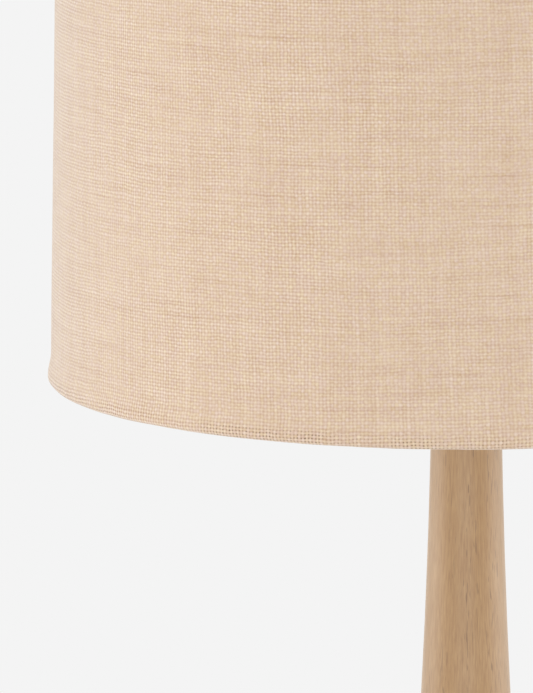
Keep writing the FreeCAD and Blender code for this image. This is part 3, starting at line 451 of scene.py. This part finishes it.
def cloth_profile():
    """The cloth's outer face from the bottom tuck round the ring, up the drum and over the top."""
    low_radius, low_level = ring_shape("bottom_ring")
    top_radius, top_level = ring_shape("top_ring")
    low_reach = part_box("bottom_hem")[1][0] - low_radius
    top_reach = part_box("top_hem")[1][0] - top_radius
    low_drum = low_radius + low_reach - HEM_BULGE
    top_drum = top_radius + top_reach - HEM_BULGE

    points = [(low_radius - low_reach, low_level + TUCK)]
    for step in range(FOLD_STEPS + 1):
        angle = math.pi * (1 + step / FOLD_STEPS)
        points.append((low_radius + low_reach * math.cos(angle), low_level + low_reach * math.sin(angle)))
    levels = [low_level + HEM_HEIGHT * (step + 1) / HEM_ROWS for step in range(HEM_ROWS)]
    drum_low = levels[-1]
    drum_top = top_level - HEM_HEIGHT
    levels += [drum_low + (drum_top - drum_low) * (step + 1) / DRUM_ROWS for step in range(DRUM_ROWS)]
    levels += [drum_top + HEM_HEIGHT * (step + 1) / HEM_ROWS for step in range(HEM_ROWS - 1)]
    for level in levels:
        rise = (level - low_level) / (top_level - low_level)
        near_ring = min(level - low_level, top_level - level)
        swell = HEM_BULGE * (1 - ease(near_ring / HEM_HEIGHT))
        points.append((low_drum + (top_drum - low_drum) * rise + swell, level))
    for step in range(FOLD_STEPS + 1):
        angle = math.pi * step / FOLD_STEPS
        points.append((top_radius + top_reach * math.cos(angle), top_level + top_reach * math.sin(angle)))
    return points


def make_shade_cloth(material):
    """The strip's mesh, its thickness, and what it stands for."""
    profile = cloth_profile()
    lengths = [0.0]
    for start, end in zip(profile, profile[1:]):
        lengths.append(lengths[-1] + math.dist(start, end))
    radius = max(point[0] for point in profile)
    lap = SEAM_LAP / radius
    mesh = bpy.data.meshes.new("shade_cloth")
    build = bmesh.new()
    layer = build.loops.layers.uv.new("cloth")
    grid = []
    for column in range(COLUMNS + 1):
        turn = -math.pi + (2 * math.pi + lap) * column / COLUMNS
        lift = SEAM_LIFT * ease((turn * radius - math.pi * radius + SEAM_RAMP) / SEAM_RAMP)
        spine = []
        for row, (out, level) in enumerate(profile):
            before = profile[max(row - 1, 0)]
            after = profile[min(row + 1, len(profile) - 1)]
            along = Vector((after[0] - before[0], after[1] - before[1])).normalized()
            push = lift + sum(
                noise.noise(Vector((turn * around, lengths[row] * up, seed))) * depth
                for around, up, seed, depth in SWELLS)
            reach = out + along.y * push
            height = level - along.x * push
            spine.append(build.verts.new((reach * math.sin(turn), -reach * math.cos(turn), height)))
        grid.append(spine)
    for column in range(COLUMNS):
        for row in range(len(profile) - 1):
            corners = ((column, row), (column + 1, row), (column + 1, row + 1), (column, row + 1))
            face = build.faces.new([grid[c][r] for c, r in corners])
            face.smooth = True
            for loop, (c, r) in zip(face.loops, corners):
                turn = (2 * math.pi + lap) * c / COLUMNS
                loop[layer].uv = (turn * radius, lengths[r])
    build.to_mesh(mesh)
    build.free()
    mesh.materials.append(material)
    cloth = bpy.data.objects.new("shade_cloth", mesh)
    bpy.context.scene.collection.objects.link(cloth)
    thick = cloth.modifiers.new("thickness", "SOLIDIFY")
    thick.thickness = CLOTH_THICKNESS
    thick.offset = -1
    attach(cloth, "shade")
    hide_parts("shade_fabric", "top_hem", "bottom_hem")


# Stage.

BACKGROUND = srgb(244, 244, 244)
WORLD_LIGHT = (1.0, 0.995, 0.985, 1.0)
WORLD_LEVEL = 0.755
FLOOR_RADIUS = 1.15
FLOOR_SOLID = 0.55
FLOOR_GAP = 0.0003
LIT_POINT = (0.0, 0.0, 0.45)

# Each softbox: its place, width, height and power in watts.
SOFTBOXES = {
    "left_softbox": ((-2.3, 0.2, 0.45), 2.0, 1.3, 15.0),
    "right_softbox": ((2.3, 0.2, 0.45), 2.0, 1.3, 15.0),
    "front_softbox": ((-0.2, -3.0, 0.32), 2.6, 0.7, 17.0),
}


def make_floor():
    """A pale round floor that fades out, so that only its middle and the shadow show."""
    paint = Paint("studio_floor", roughness=0.9)
    x, y, _ = paint.split(paint.place)
    distance = paint.math("SQRT", paint.plus(paint.times(x, x), paint.times(y, y)))
    paint.set(
        Base_Color=paint.mix(paint.noise(paint.place, 3.0, 2.0), srgb(240, 240, 240), srgb(243, 243, 243)),
        Alpha=paint.fit(distance, FLOOR_SOLID, FLOOR_RADIUS, 1.0, 0.0, smooth=True),
        Specular_IOR_Level=0.0,
    )
    build = bmesh.new()
    bmesh.ops.create_circle(build, cap_ends=True, radius=FLOOR_RADIUS, segments=96)
    mesh = bpy.data.meshes.new("studio_floor")
    build.to_mesh(mesh)
    build.free()
    mesh.materials.append(paint.material)
    floor = bpy.data.objects.new("studio_floor", mesh)
    floor.location.z = -FLOOR_GAP
    bpy.context.scene.collection.objects.link(floor)


def make_world():
    """Even white light, and the photo's pale backdrop where the camera, metal or glass sees it."""
    world = bpy.data.worlds.new("studio")
    world.use_nodes = True
    tree = world.node_tree
    tree.nodes.clear()

    def larger(a, b):
        node = tree.nodes.new("ShaderNodeMath")
        node.operation = "MAXIMUM"
        tree.links.new(a, node.inputs[0])
        tree.links.new(b, node.inputs[1])
        return node.outputs[0]

    def background(colour, strength):
        node = tree.nodes.new("ShaderNodeBackground")
        node.inputs["Color"].default_value = colour
        node.inputs["Strength"].default_value = strength
        return node.outputs[0]

    path = tree.nodes.new("ShaderNodeLightPath").outputs
    either = larger(path["Is Glossy Ray"], path["Is Transmission Ray"])
    choice = tree.nodes.new("ShaderNodeMixShader")
    tree.links.new(larger(path["Is Camera Ray"], either), choice.inputs[0])
    tree.links.new(background(WORLD_LIGHT, WORLD_LEVEL), choice.inputs[1])
    tree.links.new(background(BACKGROUND, 1.0), choice.inputs[2])
    output = tree.nodes.new("ShaderNodeOutputWorld")
    tree.links.new(choice.outputs[0], output.inputs["Surface"])
    bpy.context.scene.world = world


def make_softbox(name, place, width, height, power):
    """A soft oblong lamp that faces the lit point."""
    data = bpy.data.lights.new(name, "AREA")
    data.shape = "RECTANGLE"
    data.size = width
    data.size_y = height
    data.energy = power
    lamp = bpy.data.objects.new(name, data)
    lamp.location = place
    lamp.rotation_euler = (Vector(LIT_POINT) - Vector(place)).to_track_quat("-Z", "Y").to_euler()
    bpy.context.scene.collection.objects.link(lamp)


# Camera: far off with a long lens, looking slightly down, aimed left of the column below the shade.

CAMERA_DISTANCE = 6.593
CAMERA_PITCH = math.radians(9.384)
CAMERA_LENS = 701.4
CAMERA_SENSOR = 36.0
CAMERA_REACH = 50.0
AIM_LEFT = 0.0977
AIM_ABOVE_RIM = 0.0162


def make_camera():
    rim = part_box("bottom_hem")[0][2]
    aim = Vector((-AIM_LEFT, 0.0, rim + AIM_ABOVE_RIM))
    data = bpy.data.cameras.new("camera")
    data.lens = CAMERA_LENS
    data.sensor_width = CAMERA_SENSOR
    data.clip_end = CAMERA_REACH
    camera = bpy.data.objects.new("camera", data)
    away = Vector((0.0, -math.cos(CAMERA_PITCH), math.sin(CAMERA_PITCH)))
    camera.location = aim + away * CAMERA_DISTANCE
    camera.rotation_euler = (math.pi / 2 - CAMERA_PITCH, 0.0, 0.0)
    bpy.context.scene.collection.objects.link(camera)
    bpy.context.scene.camera = camera


def main():
    make_camera()
    make_world()
    make_floor()
    for name, (place, width, height, power) in SOFTBOXES.items():
        make_softbox(name, place, width, height, power)
    materials = make_materials()
    dress_nodes(materials)
    make_shade_cloth(materials["natural_linen"])
    bpy.context.scene.view_settings.view_transform = "Standard"


main()
